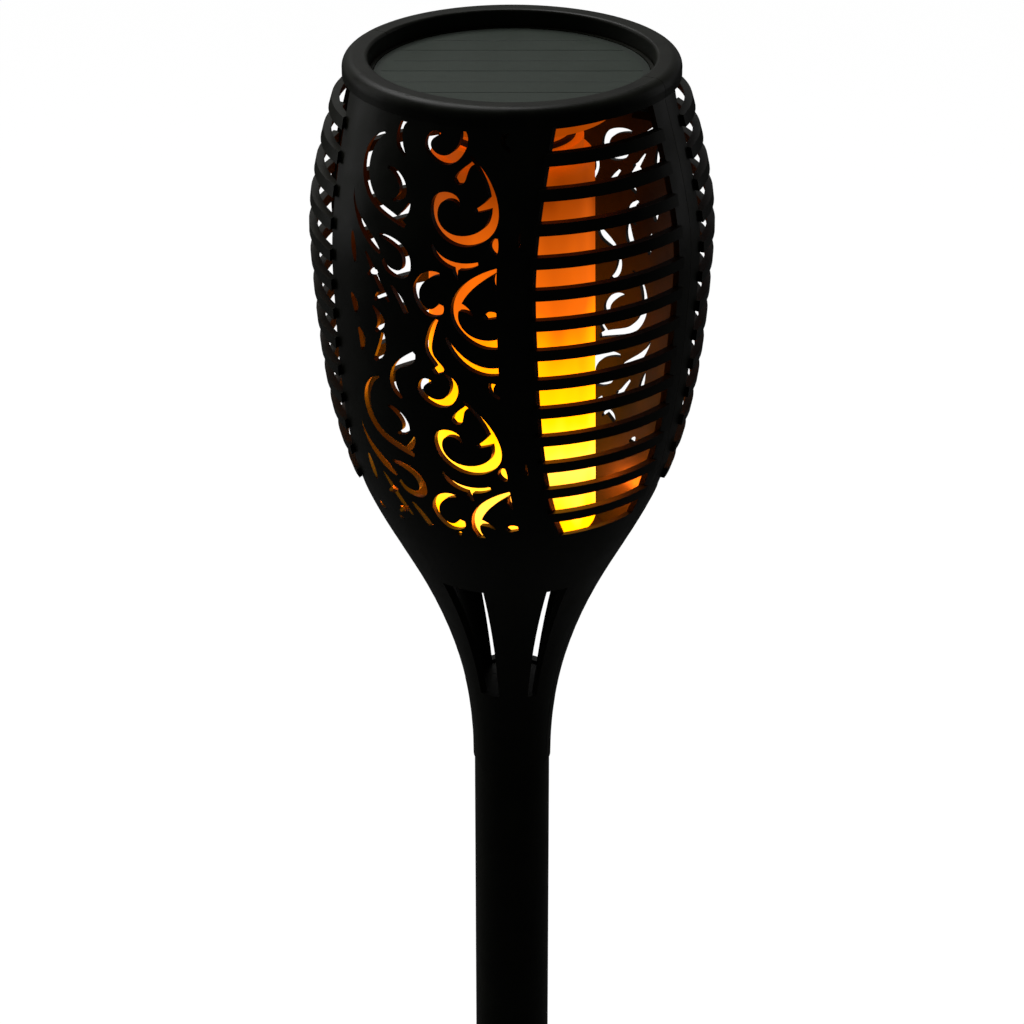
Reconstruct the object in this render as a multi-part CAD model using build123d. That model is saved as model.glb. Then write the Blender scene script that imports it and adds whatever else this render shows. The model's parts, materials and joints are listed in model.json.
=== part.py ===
from build123d import *
import os
from math import cos, radians, sin, hypot

# Solar flame torch for the garden: an egg-shaped cage head of two moulded halves around a
# lamp unit, on a pole of three tubes that plug together, with a spike for the ground.
# Millimetres, +Z up. The origin is on the pole's axis at the ground line: the spike is
# below it. The front of the torch faces -Y.

# ---- ground spike ----
spike_depth = 105.0            # blade below the ground line
spike_shoulder = 25.0          # parallel part of the blade, under the collar
spike_fin_thickness = 2.6
spike_fin_inset = 1.0          # the fins stay this much inside the pole's outline
spike_tip_radius = 1.2
spike_core_radius = 4.5
spike_collar_height = 8.0

# ---- pole ----
tube_length = 142.5
tube_radius = 12.0
tube_wall = 1.8
tube_names = ("lower", "middle", "upper")
plug_collar_height = 1.5       # ring that shows between two tubes
plug_press_depth = 18.0        # end of a plug that is pressed into the tube below it
plug_peg_height = 22.0         # end of a plug that the next tube slides over
plug_wall = 2.0
plug_chamfer = 0.8
slide_clearance = 0.1          # radial play between a peg and what slides over it
socket_headroom = 2.0          # room above a peg inside its socket

# ---- head: outline of the cage, as heights above the neck's lower end ----
neck_radius = 12.4             # the neck's lower end steps out a little from the pole
belly_radius = 58.7
belly_height = 170.0
rim_radius = 49.8
rim_bottom = 229.5
rim_top = 235.0
rim_bore_radius = 42.2
rim_outer_round = 3.2
rim_inner_round = 1.0
rim_step = 0.1                 # the rim stands this much proud of the posts
cage_wall = 1.8                # wall of the bowl, the posts and the scroll panels
neck_wall = 2.8
flare_heights = (0.18, 0.382, 0.571, 0.778)      # shares of the belly's height
flare_swell = (0.075, 0.336, 0.696, 0.919)       # shares of the way from neck to belly
neck_web_height = 3.0          # web between the socket and the hollow neck
bowl_floor_top = 76.2
bowl_floor_thickness = 2.5

# ---- head: windows, slats and scrolls ----
head_turn = -28.3              # turn of the mould's pull direction from the front, in degrees
tab_count = 6
neck_window_bottom = 28.0
neck_window_edges = ((-12.5, 12.5), (47.5, 60.0), (-60.0, -47.5))    # degrees from the pull direction
window_bottom = 99.3
slat_window_start = 33.0       # windows begin this far from the mould's middle plane
seam_post_half_width = 7.0
slat_count = 13
slat_pitch = 9.45
slat_height = 3.4
slat_top_gap = 10.1            # from the rim's lower edge to the first slat's lower edge
slat_proud = 1.3
slat_depth = 2.4
slat_root = 0.3                # how far a slat's ends run into the posts
scroll_half_width = 29.4
scroll_frame_half_width = 24.0
scroll_margin = 3.0            # narrow strip of small cuts beside the frame
scroll_repeat = 73.2
scroll_widening = 0.1          # added to the width of every stroke
scroll_shift = (0.8, 2.4)      # of the whole pattern, sideways and up
scroll_top = 228.2             # no cut goes above this height
seam_gap = 0.16
seam_pin_radius = 0.5
seam_pin_length = 6.0
seam_pin_heights = (58.0, 96.0, 150.0, 206.0)
tab_width = 8.0
tab_reach = 8.5                # how far the lamp's rest tabs reach in from the wall
tab_thickness = 2.4

# ---- lamp unit, heights as in the head ----
cap_radius = 41.9
cap_bottom = 226.0
cap_floor = 1.2
cap_lip_wall = 1.2
panel_clearance = 0.2
seal_thickness = 0.4
seal_width = 5.0
panel_thickness = 2.0
rest_gap = 0.2                 # between the cap and the tabs it rests on
housing_radius = 30.0
housing_bottom = 219.0
housing_wall = 1.4
stem_radius = 17.5
stem_wall = 1.8
stem_bottom = 205.5
screw_circle_radius = 24.5
screw_count = 3
screw_radius = 1.1
screw_head_radius = 2.4
screw_head_height = 1.4
boss_radius = 2.6
board_thickness = 1.6
board_gap = 0.2
board_edge_gap = 0.5
switch_angle = 40.0
switch_circle_radius = 23.3
switch_width = 7.0
button_radius = 2.0
button_clearance = 0.2
button_stand = 2.2
button_travel = 1.2
button_flange = 0.8
core_radius = 13.5
core_wall = 1.5
core_bottom = 94.0
core_flange_height = 2.0
core_fit = 0.1
led_sheet_thickness = 0.4
led_sheet_length = 98.0
led_rows = 12
led_columns = 8
led_width = 2.0
led_height = 1.6
led_depth = 1.0
battery_radius = 9.1
battery_length = 65.0
battery_gap = 0.1
contact_radius = 5.0
contact_thickness = 0.5

# ---- diffuser ----
diffuser_top_radius = 24.6
diffuser_bottom_radius = 26.0
diffuser_wall = 1.6
diffuser_shoulder = 206.0
diffuser_shoulder_round = 3.0
diffuser_bottom = 88.0
collar_clearance = 0.4
collar_wall = 3.4
collar_top = 210.5
collar_depth = 6.0
lug_reach = 1.6
lug_height = 1.6
lug_level = 206.6
lug_angle = 12.0
lug_clearance = 0.3
twist_angle = 20.0
ring_seal_thickness = 1.4
base_thickness = 1.6
base_spigot = 4.0

# ---- worked out from the sizes above ----
tube_bore = tube_radius - tube_wall
peg_radius = tube_bore - slide_clearance
neck_level = spike_collar_height + len(tube_names) * (tube_length + plug_collar_height)
cavity_bottom = plug_peg_height + socket_headroom + neck_web_height
far = 2 * rim_top + belly_radius    # larger than anything in the head
whole_turn = 360.0
eps = 0.01


# ---------------------------------------------------------------- helpers
def cylinder(radius, bottom, top):
    """Upright cylinder on the axis between two heights."""
    return Pos(0, 0, bottom) * extrude(Circle(radius), top - bottom)


def ring(outer, inner, bottom, top):
    """Upright tube on the axis between two heights."""
    return cylinder(outer, bottom, top) - cylinder(inner, bottom - eps, top + eps)


def block(x_low, x_high, y_low, y_high, z_low, z_high):
    """Box between two corners."""
    size = (x_high - x_low, y_high - y_low, z_high - z_low)
    middle = Pos((x_low + x_high) / 2, (y_low + y_high) / 2, (z_low + z_high) / 2)
    return middle * Box(*size)


def sector(radius, width, middle, bottom, top):
    """Wedge of a disc, `width` degrees wide, round the direction `middle` from the front."""
    points = [(0, 0)]
    for side in (-0.5, 0, 0.5):
        angle = radians(middle + side * width)
        points.append((radius * sin(angle), -radius * cos(angle)))
    return Pos(0, 0, bottom) * extrude(Polygon(*points, align=None), top - bottom)


def revolved(points):
    """Solid of revolution of a closed outline of (radius, height) points."""
    outline = make_face(Polyline(*points, close=True))
    return revolve(Plane.XZ * outline, Axis.Z)


def around(radius, angle):
    """Place on a circle, `angle` degrees from the front towards the right."""
    return Pos(radius * sin(radians(angle)), -radius * cos(radians(angle)), 0)


def raised(shape):
    """Head and lamp pieces are drawn from the neck's lower end and lifted onto the pole."""
    return Pos(0, 0, neck_level) * Rot(0, 0, head_turn) * shape


# ---------------------------------------------------------------- head outline
def head_outline(growth=0.0):
    """Curve of the cage's outside from the neck up to the rim, grown by `growth`."""
    heights = [share * belly_height for share in flare_heights]
    swell = belly_radius - tube_radius
    flare = [(tube_radius + share * swell + growth, z) for share, z in zip(flare_swell, heights)]
    points = [(neck_radius + growth, 0.0)] + flare
    points += [(belly_radius + growth, belly_height), (rim_radius - rim_step + growth, rim_bottom)]
    lean = (rim_radius - belly_radius) / (rim_bottom - belly_height)
    return Spline(*points, tangents=[(0, 1), (2 * lean, 1)])


def head_form(growth=0.0):
    """The head's outside as a solid, up to the rim's lower edge."""
    curve = head_outline(growth)
    top, bottom = curve @ 1, curve @ 0
    closing = Polyline((top.X, top.Y), (0, top.Y), (0, bottom.Y), (bottom.X, bottom.Y))
    return revolve(Plane.XZ * make_face(curve + closing), Axis.Z)


def head_radius(height):
    """Radius of the cage's outside at a height, found by halving the curve's range."""
    curve = head_outline()
    low, high = 0.0, 1.0
    for _ in range(30):
        middle = (low + high) / 2
        if (curve @ middle).Y < height:
            low = middle
        else:
            high = middle
    return (curve @ low).X


# ---------------------------------------------------------------- scroll cuts
# Strokes of the scroll filigree, seen along the mould's pull direction, in one repeat of
# the pattern: (sideways, height above the neck, width of the stroke) along its middle.
scroll_strokes = (
    # large comma scroll, its bud and thorn
    ((13.0, 133.4, 0.5), (17.4, 128.2, 1.2), (20.6, 121.4, 2.0), (20.4, 113.6, 2.8), (14.4, 109.9, 3.0),
     (8.0, 111.4, 2.0), (4.6, 116.0, 1.8), (5.6, 121.2, 2.6), (9.2, 121.8, 1.8), (11.6, 119.0, 0.5)),
    ((14.0, 131.6, 1.0), (12.2, 129.6, 1.6), (10.8, 126.9, 3.0), (9.6, 126.0, 1.4)),
    ((20.6, 121.2, 3.4), (18.4, 119.6, 1.9), (16.0, 118.4, 0.9)),
    # anchor under it
    ((4.6, 108.0, 0.5), (7.6, 104.2, 1.6), (12.2, 102.6, 2.0), (18.2, 103.8, 0.8)),
    ((12.2, 103.4, 2.0), (12.0, 100.8, 1.3), (12.6, 98.6, 0.6)),
    # C scroll with a bud
    ((7.4, 99.6, 0.7), (3.2, 98.6, 2.0), (0.2, 94.4, 2.0), (0.8, 90.2, 1.4), (4.2, 87.4, 2.2),
     (7.0, 88.4, 2.6), (7.8, 90.4, 1.4)),
    # large open C, its thorn, and the leaf that hangs from its tip
    ((23.4, 102.2, 1.0), (17.6, 98.6, 2.2), (12.6, 92.2, 2.6), (11.8, 86.2, 1.8), (14.8, 81.4, 1.6),
     (19.2, 79.2, 2.4), (24.0, 79.6, 3.0)),
    ((12.6, 90.4, 3.2), (15.2, 89.6, 1.4), (17.0, 87.8, 0.4)),
    ((23.4, 101.6, 1.1), (22.8, 98.6, 1.4), (23.2, 96.2, 0.8)),
    # stroke below the open C
    ((8.8, 80.4, 0.5), (12.0, 75.0, 1.8), (17.4, 71.0, 2.4), (24.0, 70.8, 2.2)),
    # S stroke that ends in a bud, and the hook under it
    ((6.4, 85.6, 0.7), (3.8, 79.4, 1.9), (4.2, 73.2, 1.7), (6.4, 70.0, 2.6), (4.4, 68.6, 2.2)),
    ((7.8, 68.4, 0.5), (10.4, 62.8, 2.4), (7.0, 58.6, 2.6), (2.4, 59.2, 1.8), (0.0, 62.2, 1.7),
     (1.6, 65.0, 1.7), (3.6, 65.0, 0.8)),
    # small fillers by the front post
    ((21.4, 66.6, 1.7), (21.0, 64.4, 1.2), (23.4, 61.8, 1.1)),
    ((22.4, 111.2, 0.8), (22.0, 108.8, 2.3), (22.6, 106.6, 0.8)),
    ((28.4, 112.6, 0.6), (28.8, 110.6, 1.4), (28.2, 108.8, 0.8)),
    ((20.0, 87.4, 1.0), (21.6, 88.4, 2.2), (23.6, 88.4, 1.2)),
    # left side: large C and the hook inside it
    ((-15.0, 62.2, 0.5), (-19.6, 57.6, 2.0), (-20.6, 50.2, 2.4), (-16.6, 43.6, 2.2), (-10.6, 40.8, 2.2),
     (-4.4, 38.4, 1.2)),
    ((-12.4, 53.4, 0.6), (-8.2, 51.6, 1.8), (-6.2, 48.2, 2.4), (-9.4, 44.8, 0.8)),
    ((-6.6, 40.2, 1.8), (-4.6, 42.4, 1.6), (-3.6, 45.0, 0.5)),
    # S stroke between the two halves of the panel
    ((-1.6, 73.4, 1.0), (-4.6, 70.0, 3.0), (-9.0, 66.2, 1.4), (-9.6, 62.0, 2.0), (-6.8, 57.4, 0.8)),
    # long stroke by the left post, and the hook that grows out of it
    ((-25.0, 44.4, 0.5), (-21.8, 37.0, 1.6), (-16.0, 31.6, 2.6), (-12.6, 28.8, 0.6)),
    ((-13.2, 34.0, 0.8), (-8.2, 33.4, 1.8), (-3.6, 29.8, 2.4), (-4.0, 24.8, 2.6), (-8.4, 24.4, 1.8),
     (-11.4, 27.4, 1.0)),
    # stem with two leaves below the long stroke
    ((-18.2, 28.0, 0.5), (-15.8, 24.4, 1.4), (-12.4, 18.8, 1.6), (-9.4, 14.6, 0.6)),
    ((-17.2, 21.2, 0.7), (-15.4, 22.2, 2.0), (-13.4, 23.2, 0.8)),
    ((-14.8, 14.0, 0.7), (-12.6, 16.0, 2.0), (-10.6, 16.4, 0.8)),
    ((-8.4, 20.2, 0.6), (-5.4, 16.2, 1.7), (-3.4, 12.4, 1.6)),
    # leaves against the left post
    ((-24.0, 32.2, 0.5), (-23.2, 27.8, 1.9), (-22.4, 23.4, 0.6)),
    ((-26.4, 101.4, 0.7), (-26.0, 97.6, 1.6), (-26.6, 93.8, 0.7)),
    ((-24.8, 86.2, 0.8), (-23.2, 83.6, 2.4), (-23.2, 80.4, 0.8)),
    ((-22.2, 76.0, 0.8), (-21.0, 73.0, 2.4), (-21.4, 69.0, 0.7)),
    ((-15.8, 85.0, 0.6), (-12.8, 80.6, 2.6), (-15.2, 77.0, 0.8)),
    ((-12.4, 77.2, 0.8), (-13.4, 71.4, 2.8), (-16.2, 67.4, 1.0)),
)
scroll_lift = 86.0             # height of the strokes' own zero above the neck's lower end
smallest_cut = 0.8             # a cut of less area than this is left out


def stroke_face(stroke):
    """Closed outline of one stroke: two smooth sides, and a short straight cap at each end."""
    left, right = [], []
    last = len(stroke) - 1
    for index, (x, z, width) in enumerate(stroke):
        before, after = stroke[max(index - 1, 0)], stroke[min(index + 1, last)]
        run, rise = after[0] - before[0], after[1] - before[1]
        length = hypot(run, rise)
        half = (width + scroll_widening) / 2
        aside, up = -rise / length * half, run / length * half
        left.append((x + aside, z + up))
        right.append((x - aside, z - up))
    sides = Spline(*left) + Line(left[-1], right[-1]) + Spline(*reversed(right)) + Line(right[0], left[0])
    return make_face(sides)


def scroll_faces():
    """Every cut of the scroll panel, trimmed to the panel's frame."""
    height, middle = scroll_top - window_bottom, (scroll_top + window_bottom) / 2
    frame = Pos(0, middle) * Rectangle(2 * scroll_frame_half_width, height)
    margin_start = scroll_half_width - scroll_margin
    for side in (-1, 1):
        offset = side * (margin_start + scroll_margin / 2)
        frame += Pos(offset, middle) * Rectangle(scroll_margin, height)
    faces = []
    for repeat in (-1, 0, 1):
        for stroke in scroll_strokes:
            place = Pos(scroll_shift[0], scroll_shift[1] + scroll_lift + repeat * scroll_repeat)
            cut = place * stroke_face(stroke) & frame
            if cut is not None:
                faces += [face for face in cut.faces() if face.area > smallest_cut]
    return faces


# ---------------------------------------------------------------- cage
def rim():
    """Ring round the lamp at the top of the cage, rounded on its upper edges."""
    outer, inner, low, high = rim_radius, rim_bore_radius, rim_bottom, rim_top
    section = Polyline((inner, low), (outer, low), (outer, high), (inner, high), close=True)
    section = make_face(section)
    corners = section.vertices().group_by(Axis.Y)[-1].sort_by(Axis.X)
    section = fillet(corners[0], rim_inner_round)
    corners = section.vertices().sort_by_distance((outer, high))
    section = fillet(corners[0], rim_outer_round)
    return revolve(Plane.XZ * section, Axis.Z)


def cage_shell():
    """Wall of the whole cage: belly, bowl, hollow neck, socket and bowl floor, with no cuts."""
    outside = head_form()
    floor_bottom = bowl_floor_top - bowl_floor_thickness
    bowl = head_form(-cage_wall) & block(-far, far, -far, far, bowl_floor_top, far)
    neck = head_form(-neck_wall) & block(-far, far, -far, far, cavity_bottom, floor_bottom)
    shell = outside - bowl - neck
    socket_depth = plug_peg_height + socket_headroom
    shell -= cylinder(tube_bore, -eps, socket_depth)
    return shell + rim()


def neck_windows():
    """Openings between the legs of the neck."""
    top = bowl_floor_top - bowl_floor_thickness
    low = max(neck_window_bottom, cavity_bottom)
    return [sector(far, stop - start, (start + stop) / 2, low, top) for start, stop in neck_window_edges]


def rest_tabs():
    """Tabs inside the posts that carry the lamp unit."""
    top = cap_bottom - rest_gap
    bottom = top - tab_thickness
    outer = head_radius(bottom) - cage_wall / 2
    inner = outer - cage_wall / 2 - tab_reach
    step = whole_turn / tab_count
    tabs = []
    for index in range(tab_count):
        tab = block(-tab_width / 2, tab_width / 2, -outer, -inner, bottom, top)
        tabs.append(Rot(0, 0, (index + 0.5) * step) * tab)
    return tabs


def slat_levels():
    """Heights of the lower edges of the slats, from the top one down."""
    first = rim_bottom - slat_top_gap
    return [first - index * slat_pitch for index in range(slat_count)]


def cage_half():
    """One moulded half on the -Y side: a scroll panel in front and a slat panel on each side."""
    half = cage_shell()
    half -= neck_windows()
    half += rest_tabs()
    for side in (-1, 1):
        start, stop = sorted((side * slat_window_start, side * far))
        half -= block(start, stop, -far, -seam_post_half_width, window_bottom, rim_bottom)
    slats = head_form(slat_proud) - head_form(slat_proud - slat_depth)
    bands = []
    for side in (-1, 1):
        start, stop = sorted((side * (slat_window_start - slat_root), side * far))
        for level in slat_levels():
            bands.append(block(start, stop, -far, slat_root - seam_post_half_width, level,
                               level + slat_height))
    half += [piece for band in bands for piece in (slats & band).solids()]
    half -= [extrude(Plane.XZ * face, far) for face in scroll_faces()]
    half &= block(-far, far, -far, -seam_gap / 2, -eps, far)
    return half - seam_pins()


def seam_pins():
    """Dowels across the seam, in both seam posts."""
    pins = []
    for height in seam_pin_heights:
        middle = head_radius(height) - cage_wall / 2
        pin = Plane.XZ * extrude(Circle(seam_pin_radius), seam_pin_length / 2, both=True)
        pins += [Pos(side * middle, 0, height) * pin for side in (-1, 1)]
    return pins


# ---------------------------------------------------------------- lamp unit
def screw_places():
    """Angles of the housing screws from the front."""
    return [index * whole_turn / screw_count for index in range(screw_count)]


def lamp_cap():
    """Round tray that holds the solar panel, with bosses for the housing screws."""
    lip_top = cap_bottom + cap_floor + seal_thickness + panel_thickness + panel_clearance
    tray = ring(cap_radius, cap_radius - cap_lip_wall, cap_bottom, lip_top)
    tray += cylinder(cap_radius, cap_bottom, cap_bottom + cap_floor)
    low = housing_bottom + housing_wall
    for angle in screw_places():
        place = around(screw_circle_radius, angle)
        tray += place * cylinder(boss_radius, low, cap_bottom + eps)
        tray -= place * cylinder(screw_radius, low - eps, cap_bottom)
    return tray


def panel_radius():
    return cap_radius - cap_lip_wall - panel_clearance


def panel_seal():
    """Soft ring between the tray's floor and the solar panel."""
    low = cap_bottom + cap_floor
    return ring(panel_radius(), panel_radius() - seal_width, low, low + seal_thickness)


def solar_panel():
    low = cap_bottom + cap_floor + seal_thickness
    return cylinder(panel_radius(), low, low + panel_thickness)


def switch_place():
    return around(switch_circle_radius, switch_angle)


def lamp_housing():
    """Drum under the tray, with the stem that carries the diffuser and the light core."""
    low, high = housing_bottom, cap_bottom
    drum = cylinder(housing_radius, low, high) - cylinder(housing_radius - housing_wall,
                                                          low + housing_wall, high + eps)
    stem = cylinder(stem_radius, stem_bottom, low + eps)
    housing = drum + stem - cylinder(stem_radius - stem_wall, stem_bottom - eps, low + housing_wall + eps)
    for angle in screw_places():
        place = around(screw_circle_radius, angle)
        housing -= place * cylinder(screw_radius, low - eps, low + housing_wall + eps)
    housing -= switch_place() * cylinder(button_radius + button_clearance, low - eps,
                                         low + housing_wall + eps)
    for side in (0, 1):
        lug = sector(stem_radius + lug_reach, lug_angle, side * whole_turn / 2, lug_level,
                     lug_level + lug_height)
        housing += lug - cylinder(stem_radius - stem_wall / 2, stem_bottom, low)
    return housing


def housing_screws():
    """Pan-head screws from below, through the drum into the tray's bosses."""
    low = housing_bottom
    high = cap_bottom - cap_floor
    shank = cylinder(screw_radius, low - eps, high)
    head = cylinder(screw_head_radius, low - screw_head_height, low)
    head -= block(-screw_head_radius / 6, screw_head_radius / 6, -far, far, 0, low - screw_head_height / 2)
    return [around(screw_circle_radius, angle) * (shank + head) for angle in screw_places()]


def board_bottom():
    return cap_bottom - board_gap - board_thickness


def circuit_board():
    """Round board in the drum, clear of the screw bosses."""
    radius = housing_radius - housing_wall - board_edge_gap
    board = cylinder(radius, board_bottom(), board_bottom() + board_thickness)
    for angle in screw_places():
        board -= around(screw_circle_radius, angle) * cylinder(boss_radius + board_gap, 0, far)
    return board


def board_parts():
    """Chip, coil, capacitor and wire terminals under the board."""
    top = board_bottom()
    chip = block(-9.0, -4.0, 3.0, 7.0, top - 1.5, top)
    coil = Pos(5.0, 6.0, 0) * cylinder(2.8, top - 2.6, top)
    capacitor = Pos(-6.0, -5.0, 0) * cylinder(2.0, top - 3.0, top)
    terminals = [block(x, x + 1.6, -8.0, -6.4, top - 2.0, top) for x in (3.0, 6.0, 9.0)]
    return [chip, coil, capacitor] + terminals


def switch_body():
    """Push-switch case under the board, open below for its button."""
    low = housing_bottom + housing_wall + board_gap
    case = block(-switch_width / 2, switch_width / 2, -switch_width / 2, switch_width / 2, low,
                 board_bottom())
    depth = button_flange + button_travel + board_gap + button_clearance
    pocket = cylinder(button_radius + button_flange + button_clearance, low - eps, low + depth)
    return switch_place() * (case - pocket)


def switch_button():
    """Push button that stands out of the drum's underside, with a flange that keeps it in."""
    low = housing_bottom - button_stand
    flange_low = housing_bottom + housing_wall + board_gap
    top = flange_low + button_flange
    button = cylinder(button_radius, low, top) + cylinder(button_radius + button_flange, flange_low, top)
    return switch_place() * button


def light_core():
    """Tube that carries the lights and holds the battery, with a flange inside the stem."""
    top = housing_bottom
    flange = stem_radius - stem_wall - core_fit
    core = cylinder(core_radius, core_bottom, top) + cylinder(flange, top - core_flange_height, top)
    return core - cylinder(core_radius - core_wall, core_bottom + core_wall, top + eps)


def led_sheet_bottom():
    return stem_bottom - led_sheet_length - core_wall


def led_sheet():
    """Flexible light board wrapped round the core."""
    low = led_sheet_bottom()
    return ring(core_radius + led_sheet_thickness, core_radius, low, low + led_sheet_length)


def light_diodes():
    """Rows of small lights on the flexible board."""
    inner = core_radius + led_sheet_thickness
    pitch = led_sheet_length / led_rows
    diodes = []
    for row in range(led_rows):
        level = led_sheet_bottom() + (row + 0.5) * pitch
        for column in range(led_columns):
            diode = block(-led_width / 2, led_width / 2, -inner - led_depth, -inner + 0.1,
                          level - led_height / 2, level + led_height / 2)
            turn = (column + 0.5 * (row % 2)) * whole_turn / led_columns
            diodes.append(Rot(0, 0, turn) * (diode - cylinder(inner, level - far, level + far)))
    return diodes


def battery_bottom():
    return core_bottom + core_wall + contact_thickness + (stem_bottom - core_bottom - battery_length) / 2


def battery():
    """Rechargeable cell with its raised plus pole."""
    low = battery_bottom()
    cell = cylinder(battery_radius, low, low + battery_length)
    cell = fillet(cell.edges().filter_by(GeomType.CIRCLE), 0.5)
    return cell + cylinder(battery_radius / 3, low, low + battery_length + 1.0)


def battery_sleeve():
    """Split sleeve between the cell and the core's bore."""
    low = battery_bottom()
    sleeve = ring(core_radius - core_wall, battery_radius + battery_gap, low, low + battery_length)
    return sleeve - sector(far, 40.0, 0, 0, far)


def battery_contacts():
    """Metal discs at the two ends of the cell."""
    low = battery_bottom()
    high = low + battery_length + 1.0
    return [cylinder(contact_radius, low - contact_thickness, low),
            cylinder(contact_radius, high, high + contact_thickness)]


# ---------------------------------------------------------------- diffuser
def collar_inner():
    return stem_radius + collar_clearance


def diffuser():
    """Frosted tube with a rounded shoulder and a bayonet collar that hangs on the stem's lugs."""
    outer_low, outer_top = diffuser_bottom_radius, diffuser_top_radius
    low, high = diffuser_bottom, diffuser_shoulder
    wall, hole, rounding = diffuser_wall, collar_inner(), diffuser_shoulder_round
    corner = cos(radians(45)) * rounding
    outside = (Line((outer_low, low), (outer_top, high - rounding))
               + ThreePointArc((outer_top, high - rounding),
                               (outer_top - rounding + corner, high - rounding + corner),
                               (outer_top - rounding, high)))
    collar_outer = hole + collar_wall
    rest = Polyline((outer_top - rounding, high), (collar_outer, high), (collar_outer, collar_top),
                    (hole, collar_top), (hole, high - wall), (outer_top - rounding, high - wall),
                    (outer_top - wall, high - rounding), (outer_low - wall, low), (outer_low, low))
    tube = revolve(Plane.XZ * make_face(outside + rest), Axis.Z)
    groove_low, groove_high = lug_level - lug_clearance, lug_level + lug_height + lug_clearance
    tube += ring(collar_outer, hole, collar_top - collar_depth, high)
    lug_circle = stem_radius + lug_reach + lug_clearance
    sweep = lug_angle + twist_angle + 2.0
    for side in (0, 1):
        middle = side * whole_turn / 2 - twist_angle / 2
        groove = sector(lug_circle, sweep, middle, groove_low, groove_high)
        entry = sector(lug_circle, lug_angle + 2.0, middle - twist_angle / 2, groove_low, collar_top + 1)
        tube -= [groove, entry]
    return tube


def ring_seal():
    """Rubber ring on the stem between the drum and the collar."""
    low = collar_top + collar_clearance
    return ring(stem_radius + ring_seal_thickness, stem_radius, low, low + ring_seal_thickness)


def diffuser_base():
    """Cap in the diffuser's lower end."""
    inner = diffuser_bottom_radius - diffuser_wall - 0.1
    low = diffuser_bottom - base_thickness
    base = cylinder(diffuser_bottom_radius, low, diffuser_bottom)
    return base + ring(inner, inner - diffuser_wall, diffuser_bottom - eps, diffuser_bottom + base_spigot)


# ---------------------------------------------------------------- pole
def tube_bottom(index):
    return spike_collar_height + index * (tube_length + plug_collar_height)


def pole_tube(index):
    low = tube_bottom(index)
    return ring(tube_radius, tube_bore, low, low + tube_length)


def pole_plug(index):
    """Plug pressed into a tube's top: a ring that shows, and a peg for what comes above."""
    low = tube_bottom(index) + tube_length
    high = low + plug_collar_height
    plug = cylinder(tube_bore, low - plug_press_depth, low)
    plug += cylinder(tube_radius, low, high)
    peg = cylinder(peg_radius, high, high + plug_peg_height)
    plug += chamfer(peg.edges().group_by(Axis.Z)[-1], plug_chamfer)
    return plug - cylinder(tube_bore - plug_wall, low - far, high + far)


def ground_spike():
    """Crossed fins that taper to a tip, a round core, a collar and a peg for the lowest tube."""
    reach = tube_radius - spike_fin_inset
    half = spike_fin_thickness / 2
    outline = Polygon((-reach, 0), (reach, 0), (reach, -spike_shoulder),
                      (spike_tip_radius, -spike_depth), (-spike_tip_radius, -spike_depth),
                      (-reach, -spike_shoulder), align=None)
    fin = extrude(Plane.XZ * outline, half, both=True)
    spike = fin + Rot(0, 0, 90) * fin
    tip = min(spike_tip_radius, half)
    spike += revolved(((0, 0), (spike_core_radius, 0), (tip, -spike_depth), (0, -spike_depth)))
    spike += cylinder(tube_radius, 0, spike_collar_height)
    peg = cylinder(peg_radius, spike_collar_height, spike_collar_height + plug_peg_height)
    spike += chamfer(peg.edges().group_by(Axis.Z)[-1], plug_chamfer)
    return spike - cylinder(tube_bore - plug_wall, spike_collar_height, far)


# ---------------------------------------------------------------- write the pieces
def write(name, shape):
    """Save one piece, or a group of like pieces, as a node."""
    pieces = shape if isinstance(shape, list) else [shape]
    solids = [solid for piece in pieces for solid in piece.solids()]
    export_step(solids[0] if len(solids) == 1 else Compound(solids), f"parts/{name}.step")


def main():
    os.makedirs("parts", exist_ok=True)
    half = cage_half()
    write("cage_half_front", raised(half))
    write("cage_half_rear", raised(Rot(0, 0, 180) * half))
    head_pieces = {
        "seam_pins": seam_pins(),
        "lamp_cap": lamp_cap(),
        "panel_seal": panel_seal(),
        "solar_panel": solar_panel(),
        "lamp_housing": lamp_housing(),
        "housing_screws": housing_screws(),
        "circuit_board": circuit_board(),
        "board_parts": board_parts(),
        "switch_body": switch_body(),
        "switch_button": switch_button(),
        "light_core": light_core(),
        "led_sheet": led_sheet(),
        "light_diodes": light_diodes(),
        "battery": battery(),
        "battery_sleeve": battery_sleeve(),
        "battery_contacts": battery_contacts(),
        "diffuser": diffuser(),
        "diffuser_base": diffuser_base(),
        "ring_seal": ring_seal(),
    }
    for name, shape in head_pieces.items():
        pieces = shape if isinstance(shape, list) else [shape]
        write(name, [raised(piece) for piece in pieces])
    for index, name in enumerate(tube_names):
        write(f"pole_{name}", pole_tube(index))
        write(f"plug_{name}", pole_plug(index))
    write("ground_spike", ground_spike())


main()
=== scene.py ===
import json
from math import cos, pi, radians, sin, sqrt

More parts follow.
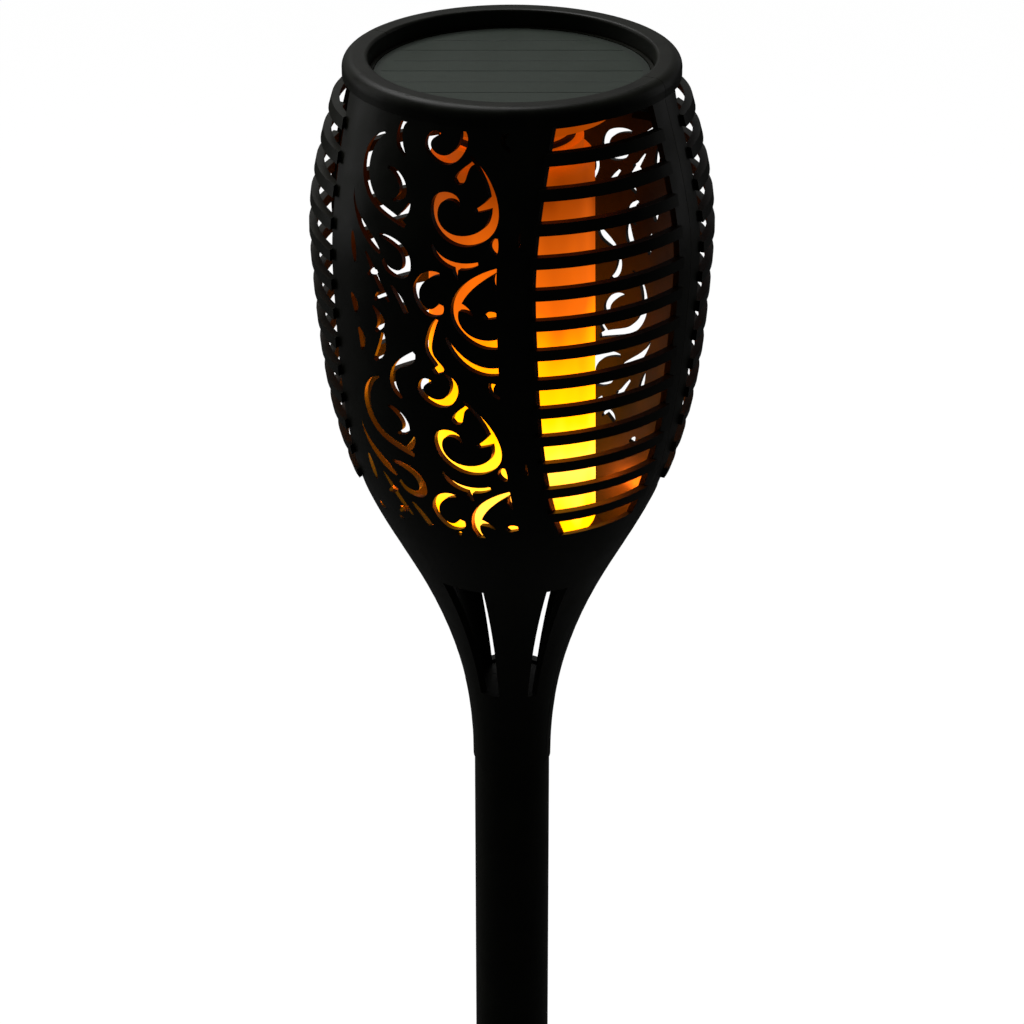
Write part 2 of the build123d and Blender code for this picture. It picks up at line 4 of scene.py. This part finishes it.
import bmesh
import bpy
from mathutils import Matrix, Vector


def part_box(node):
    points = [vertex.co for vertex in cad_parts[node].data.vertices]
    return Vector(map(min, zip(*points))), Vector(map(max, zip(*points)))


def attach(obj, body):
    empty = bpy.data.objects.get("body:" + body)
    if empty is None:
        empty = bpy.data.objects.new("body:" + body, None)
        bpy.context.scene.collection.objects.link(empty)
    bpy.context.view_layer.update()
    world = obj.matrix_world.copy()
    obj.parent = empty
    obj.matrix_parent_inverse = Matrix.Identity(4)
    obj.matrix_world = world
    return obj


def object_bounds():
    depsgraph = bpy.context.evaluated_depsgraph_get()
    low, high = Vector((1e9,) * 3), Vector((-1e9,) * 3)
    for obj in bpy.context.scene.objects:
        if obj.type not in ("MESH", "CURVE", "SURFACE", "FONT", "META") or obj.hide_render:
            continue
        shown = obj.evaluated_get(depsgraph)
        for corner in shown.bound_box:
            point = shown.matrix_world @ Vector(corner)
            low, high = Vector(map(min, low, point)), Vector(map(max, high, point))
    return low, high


# Solar flame torch for the garden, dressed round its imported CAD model. Metres, +Z up; the
# front of the torch faces -Y. Places on the torch come from the CAD nodes' boxes.
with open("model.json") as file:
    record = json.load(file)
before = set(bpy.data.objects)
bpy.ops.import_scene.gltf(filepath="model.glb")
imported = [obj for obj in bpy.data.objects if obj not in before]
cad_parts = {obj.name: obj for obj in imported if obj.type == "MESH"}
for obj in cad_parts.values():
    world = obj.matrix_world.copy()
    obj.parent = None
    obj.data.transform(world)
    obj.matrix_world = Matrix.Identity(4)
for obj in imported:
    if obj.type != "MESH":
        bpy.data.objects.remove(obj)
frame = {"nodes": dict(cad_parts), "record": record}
cad_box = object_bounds()
nodes = frame["nodes"]

# ---- camera ----
camera_pitch = 26.1            # degrees below the horizon
camera_lens = 117.8            # millimetres
camera_distance = 1.0435       # from the point the camera looks at
head_drop = 0.149              # from the rim's top down to that point

# ---- solar cells ----
cell_strips = 4
cell_turn = 90.0               # degrees about the pole, so the strips run from left to right
cell_gap = 0.0004
cell_margin = 0.0022           # from the cells to the panel's edge
cell_thickness = 0.00008
finger_pitch = 0.0019
finger_share = 0.07            # of the pitch
busbar_width = 0.0007
arc_steps = 48

# ---- flame ----
flame_strength = 2.6
tongue_sway = 0.06             # how far the tongues shift the colours, as a share of the height
glow_count = 6                 # lamps in each ring round the diffuser
glow_reach = 0.009             # from the diffuser's wall out to each lamp
glow_levels = ((0.004, 0.020), (0.040, 0.004))   # height over its foot, watts
glow_radius = 0.003
glow_colour = (1.0, 0.14, 0.006)

# ---- floor ----
floor_radius = 9.0
floor_thickness = 0.02         # its top is level with the spike's tip
floor_corners = 96
floor_shade = 0.12             # its own grey, dark so that it throws little light up
floor_glow = 0.98              # what the camera alone sees on top of the floor's own light

# ---- world, as strengths ----
world_front = 0.04
world_behind = 0.20
world_left_share = 0.9
world_right_share = 0.5


# ---------------------------------------------------------------- node helpers
def add(tree, kind, settings=None, **inputs):
    """New shader node; an input is a value or another node's output."""
    made = tree.nodes.new(kind)
    for name, value in (settings or {}).items():
        setattr(made, name, value)
    for name, value in inputs.items():
        connect(tree, made.inputs[name.replace("_", " ")], value)
    return made


def connect(tree, socket, value):
    if isinstance(value, bpy.types.NodeSocket):
        tree.links.new(value, socket)
    else:
        socket.default_value = value


def maths(tree, operation, *values):
    """Math node's output."""
    made = add(tree, "ShaderNodeMath", {"operation": operation})
    for socket, value in zip(made.inputs, values):
        connect(tree, socket, value)
    return made.outputs[0]


def mixed(tree, factor, low, high):
    """Colour between two colours."""
    made = add(tree, "ShaderNodeMix", {"data_type": "RGBA"})
    for index, value in ((0, factor), (6, low), (7, high)):
        connect(tree, made.inputs[index], value)
    return made.outputs[2]


def spread(tree, value, low, high, start=0.0, end=1.0):
    """Map a value from one range to another, kept inside it."""
    made = add(tree, "ShaderNodeMapRange", Value=value, From_Min=start, From_Max=end,
               To_Min=low, To_Max=high)
    return made.outputs[0]


def noise(tree, place, scale, detail=3.0, roughness=0.5):
    made = add(tree, "ShaderNodeTexNoise", Vector=place, Scale=scale, Detail=detail,
               Roughness=roughness)
    return made.outputs["Fac"]


def ramp(tree, value, stops):
    """Colour ramp with (position, colour) stops."""
    made = add(tree, "ShaderNodeValToRGB", Fac=value)
    elements = made.color_ramp.elements
    while len(elements) < len(stops):
        elements.new(0.5)
    for element, (position, colour) in zip(elements, stops):
        element.position = position
        element.color = (*colour, 1.0)
    return made.outputs[0]


def material(name, build, roughness=0.5, metallic=0.0, coat=0.0, specular=0.5):
    """Material with one Principled shader, dressed by `build(tree, shader, place)`."""
    made = bpy.data.materials.new(name)
    made.use_nodes = True
    tree = made.node_tree
    shader = tree.nodes["Principled BSDF"]
    shader.inputs["Roughness"].default_value = roughness
    shader.inputs["Metallic"].default_value = metallic
    shader.inputs["Coat Weight"].default_value = coat
    shader.inputs["Specular IOR Level"].default_value = specular
    place = add(tree, "ShaderNodeTexCoord").outputs["Object"]
    build(tree, shader, place)
    return made


def grained(colour, shade, size, depth, gloss):
    """Builder for a surface with a fine grain: its colour, roughness and height all vary.

    `shade` is the share by which the colour varies, `size` the grain in metres, `depth` its
    height in metres, and `gloss` the lowest and highest roughness."""
    def build(tree, shader, place):
        fine = noise(tree, place, 1.0 / size, 4.0)
        broad = noise(tree, place, 0.04 / size, 3.0)
        dark = tuple(part * (1.0 - shade) for part in colour)
        light = tuple(part * (1.0 + shade) for part in colour)
        tint = mixed(tree, spread(tree, broad, 0.0, 1.0, 0.35, 0.65), (*dark, 1.0), (*light, 1.0))
        connect(tree, shader.inputs["Base Color"], tint)
        connect(tree, shader.inputs["Roughness"], spread(tree, broad, *gloss, 0.3, 0.7))
        bump = add(tree, "ShaderNodeBump", Strength=0.35, Distance=depth, Height=fine)
        connect(tree, shader.inputs["Normal"], bump.outputs[0])
    return build


# ---------------------------------------------------------------- special surfaces
def flame(tree, shader, place):
    """Frosted tube lit from inside: yellow at the foot, orange at the top, in soft tongues."""
    low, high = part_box("diffuser")
    height = add(tree, "ShaderNodeSeparateXYZ", Vector=place).outputs["Z"]
    level = spread(tree, height, 0.0, 1.0, low.z, high.z)
    stretched = add(tree, "ShaderNodeMapping", Vector=place, Scale=(1.0, 1.0, 0.35)).outputs[0]
    tongues = noise(tree, stretched, 55.0, 2.0)
    level = maths(tree, "ADD", level, spread(tree, tongues, -tongue_sway, tongue_sway, 0.3, 0.7))
    stops = ((0.02, (1.0, 0.36, 0.000)), (0.12, (1.0, 0.44, 0.045)), (0.20, (1.0, 0.43, 0.012)),
             (0.30, (1.0, 0.34, 0.0)), (0.44, (1.0, 0.23, 0.0)), (0.54, (0.72, 0.125, 0.0)),
             (0.62, (0.40, 0.064, 0.001)), (0.78, (0.235, 0.036, 0.001)), (0.90, (0.105, 0.014, 0.0)),
             (0.97, (0.145, 0.020, 0.0)))
    colour = ramp(tree, level, stops)
    connect(tree, shader.inputs["Emission Color"], colour)
    shader.inputs["Emission Strength"].default_value = flame_strength
    grain = noise(tree, place, 1800.0, 3.0)
    bump = add(tree, "ShaderNodeBump", Strength=0.25, Distance=0.0001, Height=grain)
    connect(tree, shader.inputs["Normal"], bump.outputs[0])
    tint = mixed(tree, tongues, (0.62, 0.22, 0.02, 1.0), (0.70, 0.28, 0.04, 1.0))
    connect(tree, shader.inputs["Base Color"], tint)


def silicon(tree, shader, place):
    """Dark cell surface with thin printed fingers across it and faint crystal grain."""
    parts = add(tree, "ShaderNodeSeparateXYZ", Vector=place)
    across = maths(tree, "FRACT", maths(tree, "DIVIDE", parts.outputs["X"], finger_pitch))
    finger = maths(tree, "LESS_THAN", across, finger_share)
    crystals = add(tree, "ShaderNodeTexVoronoi", Vector=place, Scale=260.0).outputs["Color"]
    grey = add(tree, "ShaderNodeRGBToBW", Color=crystals).outputs[0]
    body = mixed(tree, grey, (0.037, 0.053, 0.038, 1.0), (0.041, 0.058, 0.042, 1.0))
    connect(tree, shader.inputs["Base Color"], mixed(tree, finger, body, (0.043, 0.060, 0.045, 1.0)))
    patches = noise(tree, place, 90.0)
    connect(tree, shader.inputs["Roughness"], spread(tree, patches, 0.42, 0.55, 0.3, 0.7))


def printed_board(tree, shader, place):
    """Green board with copper tracks under the solder mask."""
    cells = add(tree, "ShaderNodeTexVoronoi", {"feature": "DISTANCE_TO_EDGE"}, Vector=place,
                Scale=240.0).outputs["Distance"]
    track = maths(tree, "LESS_THAN", cells, 0.06)
    tint = mixed(tree, track, (0.01, 0.09, 0.03, 1.0), (0.03, 0.19, 0.07, 1.0))
    connect(tree, shader.inputs["Base Color"], tint)
    bump = add(tree, "ShaderNodeBump", Strength=0.4, Distance=0.00005, Height=track)
    connect(tree, shader.inputs["Normal"], bump.outputs[0])


def make_materials():
    """The materials: one for each of the record's slots, and two for the solar cells."""
    black = grained((0.013, 0.014, 0.009), 0.25, 0.00045, 0.00003, (0.34, 0.46))
    glass = grained((0.040, 0.052, 0.041), 0.10, 0.004, 0.00001, (0.45, 0.55))
    tinned = grained((0.044, 0.057, 0.046), 0.1, 0.0006, 0.00002, (0.45, 0.55))
    rubber = grained((0.012, 0.012, 0.012), 0.3, 0.0004, 0.00006, (0.6, 0.8))
    steel = grained((0.62, 0.62, 0.60), 0.1, 0.0003, 0.00002, (0.25, 0.4))
    sheet = grained((0.72, 0.72, 0.68), 0.06, 0.0008, 0.00002, (0.4, 0.55))
    lens = grained((0.85, 0.55, 0.15), 0.1, 0.0005, 0.00002, (0.15, 0.3))
    grey = grained((0.25, 0.25, 0.25), 0.1, 0.0006, 0.00004, (0.4, 0.55))
    wrap = grained((0.02, 0.06, 0.24), 0.15, 0.002, 0.00003, (0.2, 0.3))
    nickel = grained((0.7, 0.7, 0.68), 0.08, 0.0004, 0.00002, (0.2, 0.35))
    return {
        "black_abs": material("black_abs", black, specular=0.2),
        "frosted_flame": material("frosted_flame", flame, roughness=0.55, specular=0.25),
        "solar_cell": material("solar_cell", glass, specular=0.3),
        "silicon": material("silicon", silicon, specular=0.3),
        "tinned_copper": material("tinned_copper", tinned, specular=0.3),
        "black_rubber": material("black_rubber", rubber, specular=0.3),
        "screw_steel": material("screw_steel", steel, metallic=1.0),
        "circuit_board": material("circuit_board", printed_board, roughness=0.35),
        "light_sheet": material("light_sheet", sheet),
        "diode_lens": material("diode_lens", lens),
        "grey_plastic": material("grey_plastic", grey),
        "battery_wrap": material("battery_wrap", wrap, coat=0.5),
        "contact_metal": material("contact_metal", nickel, metallic=1.0),
    }


def dress_nodes(materials):
    """Give every CAD node its slot's material."""
    slots = {part["node"]: part["material_slot"] for part in frame["record"]["subparts"]}
    for name, shape in nodes.items():
        shape.data.materials.clear()
        shape.data.materials.append(materials[slots[name]])


# ---------------------------------------------------------------- solar cells
def chord_outline(radius, low, high):
    """Outline of the part of a disc between two lines across it, in the disc's own plane."""
    points = []
    for side in (1, -1):
        for step in range(arc_steps + 1):
            share = step / arc_steps if side > 0 else 1.0 - step / arc_steps
            x = low + (high - low) * share
            points.append((x, side * sqrt(max(radius ** 2 - x ** 2, 0.0))))
    return points


def slab(name, outline, bottom, thickness, turn):
    """Upright slab of an outline, turned about the axis."""
    shape = bmesh.new()
    corners = [shape.verts.new((x * cos(turn) - y * sin(turn), x * sin(turn) + y * cos(turn), bottom))
               for x, y in outline]
    face = shape.faces.new(corners)
    lifted = bmesh.ops.extrude_face_region(shape, geom=[face])
    tops = [part for part in lifted["geom"] if isinstance(part, bmesh.types.BMVert)]
    bmesh.ops.translate(shape, verts=tops, vec=(0, 0, thickness))
    bmesh.ops.remove_doubles(shape, verts=shape.verts, dist=1e-7)
    bmesh.ops.recalc_face_normals(shape, faces=shape.faces)
    mesh = bpy.data.meshes.new(name)
    shape.to_mesh(mesh)
    shape.free()
    made = bpy.data.objects.new(name, mesh)
    bpy.context.scene.collection.objects.link(made)
    return made


def add_cells(materials):
    """Cell strips on the solar panel, with a busbar along the middle of each."""
    low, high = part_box("solar_panel")
    radius = (high.x - low.x) / 2 - cell_margin
    pitch = 2 * radius / cell_strips
    turn = radians(cell_turn)
    for index in range(cell_strips):
        start = -radius + index * pitch + cell_gap / 2
        stop = start + pitch - cell_gap
        outline = chord_outline(radius, start, stop)
        strip = slab(f"solar_cell_{index + 1}", outline, high.z, cell_thickness, turn)
        strip.data.materials.append(materials["silicon"])
        middle = (start + stop) / 2
        reach = sqrt(radius ** 2 - middle ** 2) - cell_margin
        half = busbar_width / 2
        left, right = middle - half, middle + half
        outline = [(left, -reach), (right, -reach), (right, reach), (left, reach)]
        top = high.z + cell_thickness
        bar = slab(f"solar_busbar_{index + 1}", outline, top, cell_thickness / 2, turn)
        bar.data.materials.append(materials["tinned_copper"])
        for piece in (strip, bar):
            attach(piece, "lamp_unit")


# ---------------------------------------------------------------- surroundings
def add_floor():
    """Dark grey round floor under the torch, which the camera alone sees as white."""
    angles = [2 * pi * step / floor_corners for step in range(floor_corners)]
    points = [(floor_radius * cos(angle), floor_radius * sin(angle)) for angle in angles]
    floor = slab("floor", points, cad_box[0].z - floor_thickness, floor_thickness, 0.0)
    made = bpy.data.materials.new("floor")
    made.use_nodes = True
    tree = made.node_tree
    shader = tree.nodes["Principled BSDF"]
    shader.inputs["Base Color"].default_value = (floor_shade, floor_shade, floor_shade, 1.0)
    shader.inputs["Roughness"].default_value = 0.9
    shader.inputs["Specular IOR Level"].default_value = 0.0
    seen = add(tree, "ShaderNodeLightPath").outputs["Is Camera Ray"]
    glow = add(tree, "ShaderNodeEmission", Strength=maths(tree, "MULTIPLY", seen, floor_glow))
    both = tree.nodes.new("ShaderNodeAddShader")
    tree.links.new(shader.outputs[0], both.inputs[0])
    tree.links.new(glow.outputs[0], both.inputs[1])
    tree.links.new(both.outputs[0], tree.nodes["Material Output"].inputs["Surface"])
    floor.data.materials.append(made)


def add_world():
    """White to the camera alone; other rays see it dim behind the torch and darker in front."""
    world = bpy.data.worlds.new("studio")
    bpy.context.scene.world = world
    world.use_nodes = True
    tree = world.node_tree
    ground = tree.nodes["Background"]
    direction = add(tree, "ShaderNodeSeparateXYZ",
                    Vector=add(tree, "ShaderNodeTexCoord").outputs["Generated"])
    depth = spread(tree, direction.outputs["Y"], world_front, world_behind, 0.2, 0.9)
    side = spread(tree, direction.outputs["X"], world_left_share, world_right_share, -0.9, 0.9)
    level = maths(tree, "MULTIPLY", depth, side)
    seen = add(tree, "ShaderNodeLightPath").outputs["Is Camera Ray"]
    strength = maths(tree, "MAXIMUM", level, seen)
    connect(tree, ground.inputs["Strength"], strength)
    ground.inputs["Color"].default_value = (1.0, 1.0, 1.0, 1.0)


def add_softbox(name, place, aim, size, power):
    """Rectangular light that points at a place."""
    light = bpy.data.lights.new(name, "AREA")
    light.shape = "RECTANGLE"
    light.size, light.size_y = size
    light.energy = power
    made = bpy.data.objects.new(name, light)
    made.location = place
    made.rotation_euler = (Vector(aim) - Vector(place)).to_track_quat("-Z", "Y").to_euler()
    bpy.context.scene.collection.objects.link(made)


def add_glow():
    """Small warm lamps round the diffuser, for the light it throws on the cage's inside."""
    low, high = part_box("diffuser")
    reach = (high.x - low.x) / 2 + glow_reach
    for level, power in glow_levels:
        for index in range(glow_count):
            angle = 2 * pi * (index + 0.5) / glow_count
            light = bpy.data.lights.new("flame_glow", "POINT")
            light.energy = power
            light.color = glow_colour
            light.shadow_soft_size = glow_radius
            made = bpy.data.objects.new("flame_glow", light)
            made.location = (reach * cos(angle), reach * sin(angle), low.z + level)
            made.visible_camera = False
            bpy.context.scene.collection.objects.link(made)
            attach(made, "lamp_unit")


def add_lights(aim):
    """Two faint strips beside the torch and a soft lamp over it."""
    add_softbox("left_strip", (-1.5, 0.55, 0.9), aim, (0.5, 1.6), 2.5)
    add_softbox("right_strip", (1.6, 0.75, 0.8), aim, (0.4, 1.4), 1.0)
    add_softbox("overhead", (-0.5, 0.9, 2.2), aim, (1.2, 1.2), 17.0)


def add_camera(aim):
    """Camera in front of the torch and above it, pointed at a place."""
    data = bpy.data.cameras.new("camera")
    data.lens = camera_lens
    made = bpy.data.objects.new("camera", data)
    pitch = radians(camera_pitch)
    made.location = aim + camera_distance * Vector((0, -cos(pitch), sin(pitch)))
    made.rotation_euler = (pi / 2 - pitch, 0, 0)
    bpy.context.scene.collection.objects.link(made)
    bpy.context.scene.camera = made


# ---------------------------------------------------------------- build
bpy.context.scene.view_settings.view_transform = "Standard"
materials = make_materials()
dress_nodes(materials)
add_cells(materials)
head_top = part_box("cage_half_front")[1].z
aim = Vector((0, 0, head_top - head_drop))
add_floor()
add_world()
add_glow()
add_lights(aim)
add_camera(aim)
